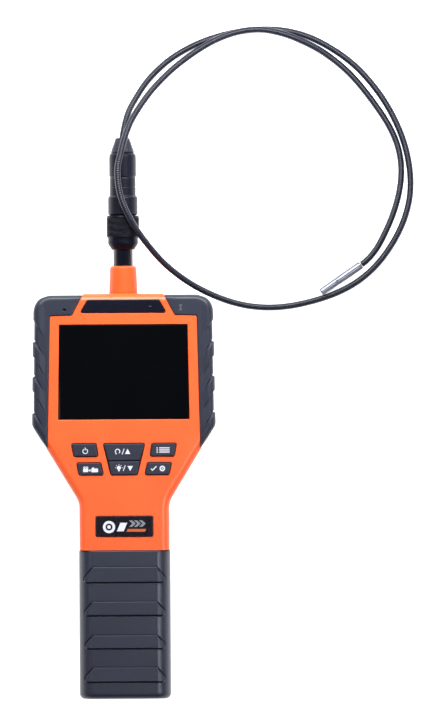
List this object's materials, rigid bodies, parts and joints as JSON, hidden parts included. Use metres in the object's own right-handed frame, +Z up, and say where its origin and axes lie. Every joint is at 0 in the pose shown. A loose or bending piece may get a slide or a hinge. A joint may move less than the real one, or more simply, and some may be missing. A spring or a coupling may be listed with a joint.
{
  "type": "inspection camera",
  "caption": "Hand-held inspection camera with a colour screen, keypad and rubber-gripped handle, and a detachable gooseneck probe that ends in a small metal camera head.",
  "frame": {"origin": "on the surface that the instrument's back rests on, under the middle of the instrument from handle end to strain relief", "axes": "+Z up out of the screen, +Y from the handle towards the neck and the probe, +X to the right as the user reads the screen"},
  "size_m": [0.222, 0.3896, 0.0352],
  "materials": {
    "orange_plastic": "satin moulded plastic",
    "dark_rubber": "matte moulded rubber",
    "key_rubber": "satin silicone rubber",
    "black_plastic": "gloss",
    "screen_cover": "high gloss",
    "lcd_grey": "gloss",
    "circuit_board": "solder mask",
    "chip_black": "matte",
    "coupling_black": "satin gloss",
    "nose_grey": "matte",
    "cable_sheath": "satin",
    "steel": "brushed",
    "tip_metal": "polished",
    "contact_gold": "polished",
    "cell_wrap": "gloss shrink wrap",
    "inner_plastic": "matte",
    "lens_glass": "polished"
  },
  "bodies": {
    "housing": {"battery_cell_1": "cell_wrap", "battery_cell_2": "cell_wrap", "card_slot": "steel", "case_screw_1": "steel", "case_screw_2": "steel", "case_screw_3": "steel", "case_screw_4": "steel", "case_screw_5": "steel", "case_screw_6": "steel", "cell_contact_plate": "steel", "cell_cradle": "inner_plastic", "cell_spring_1": "steel", "cell_spring_2": "steel", "front_shell": "orange_plastic", "handle_grip": "dark_rubber", "keypad_mat": "key_rubber", "label_plate": "black_plastic", "lcd_module": "lcd_grey", "left_bumper": "dark_rubber", "main_board": "circuit_board", "memory_chip": "chip_black", "microphone": "steel", "neck_collar": "orange_plastic", "neck_socket": "black_plastic", "processor_chip": "chip_black", "rear_shell": "orange_plastic", "right_bumper": "dark_rubber", "screen_gasket": "inner_plastic", "screen_lens": "screen_cover", "socket_harness": "chip_black", "socket_insert": "inner_plastic", "socket_nut": "steel", "top_panel": "black_plastic", "usb_port": "steel"},
    "probe": {"plug_body": "coupling_black", "plug_insert": "inner_plastic", "plug_pin_1": "contact_gold", "plug_pin_2": "contact_gold", "plug_pin_3": "contact_gold", "plug_pin_4": "contact_gold", "seal_ring": "dark_rubber", "strain_relief": "nose_grey", "probe_cable": "cable_sheath", "tip_sleeve": "tip_metal", "tip_head": "tip_metal", "tip_window": "lens_glass", "led_ring": "contact_gold", "camera_module": "chip_black"},
    "coupling_nut": {"union_nut": "coupling_black"},
    "battery_cover": {"battery_door": "dark_rubber"},
    "latch": {"door_latch": "black_plastic"},
    "port_cover": {"port_flap": "dark_rubber"},
    "power_button": {"power_key": "key_rubber"},
    "photo_button": {"photo_key": "key_rubber"},
    "up_button": {"up_key": "key_rubber"},
    "down_button": {"down_key": "key_rubber"},
    "menu_button": {"menu_key": "key_rubber"},
    "ok_button": {"ok_key": "key_rubber"}
  },
  "joints": [
    {"name": "probe_pull", "type": "slide", "parent": "housing", "child": "probe", "axis": [0, 1, 0], "range_m": [0, 0.02]},
    {"name": "nut_turn", "type": "hinge", "parent": "probe", "child": "coupling_nut", "pos_m": [0, 0.1074, 0.018], "axis": [0, 1, 0], "continuous": true},
    {"name": "battery_door_slide", "type": "slide", "parent": "housing", "child": "battery_cover", "axis": [0, -1, 0], "range_m": [0, 0.085]},
    {"name": "latch_press", "type": "slide", "parent": "housing", "child": "latch", "axis": [0, 0, 1], "range_m": [0, 0.0012], "stiffness_N_per_m": 400, "springref_m": -0.0006},
    {"name": "port_flap_hinge", "type": "hinge", "parent": "housing", "child": "port_cover", "pos_m": [-0.0415, 0.0712, 0.0202], "axis": [0, 0, 1], "range_deg": [0, 120]},
    {"name": "power_press", "type": "slide", "parent": "housing", "child": "power_button", "axis": [0, 0, -1], "range_m": [0, 0.0008], "stiffness_N_per_m": 350, "springref_m": -0.0006},
    {"name": "photo_press", "type": "slide", "parent": "housing", "child": "photo_button", "axis": [0, 0, -1], "range_m": [0, 0.0008], "stiffness_N_per_m": 350, "springref_m": -0.0006},
    {"name": "up_press", "type": "slide", "parent": "housing", "child": "up_button", "axis": [0, 0, -1], "range_m": [0, 0.0008], "stiffness_N_per_m": 350, "springref_m": -0.0006},
    {"name": "down_press", "type": "slide", "parent": "housing", "child": "down_button", "axis": [0, 0, -1], "range_m": [0, 0.0008], "stiffness_N_per_m": 350, "springref_m": -0.0006},
    {"name": "menu_press", "type": "slide", "parent": "housing", "child": "menu_button", "axis": [0, 0, -1], "range_m": [0, 0.0008], "stiffness_N_per_m": 350, "springref_m": -0.0006},
    {"name": "ok_press", "type": "slide", "parent": "housing", "child": "ok_button", "axis": [0, 0, -1], "range_m": [0, 0.0008], "stiffness_N_per_m": 350, "springref_m": -0.0006}
  ]
}
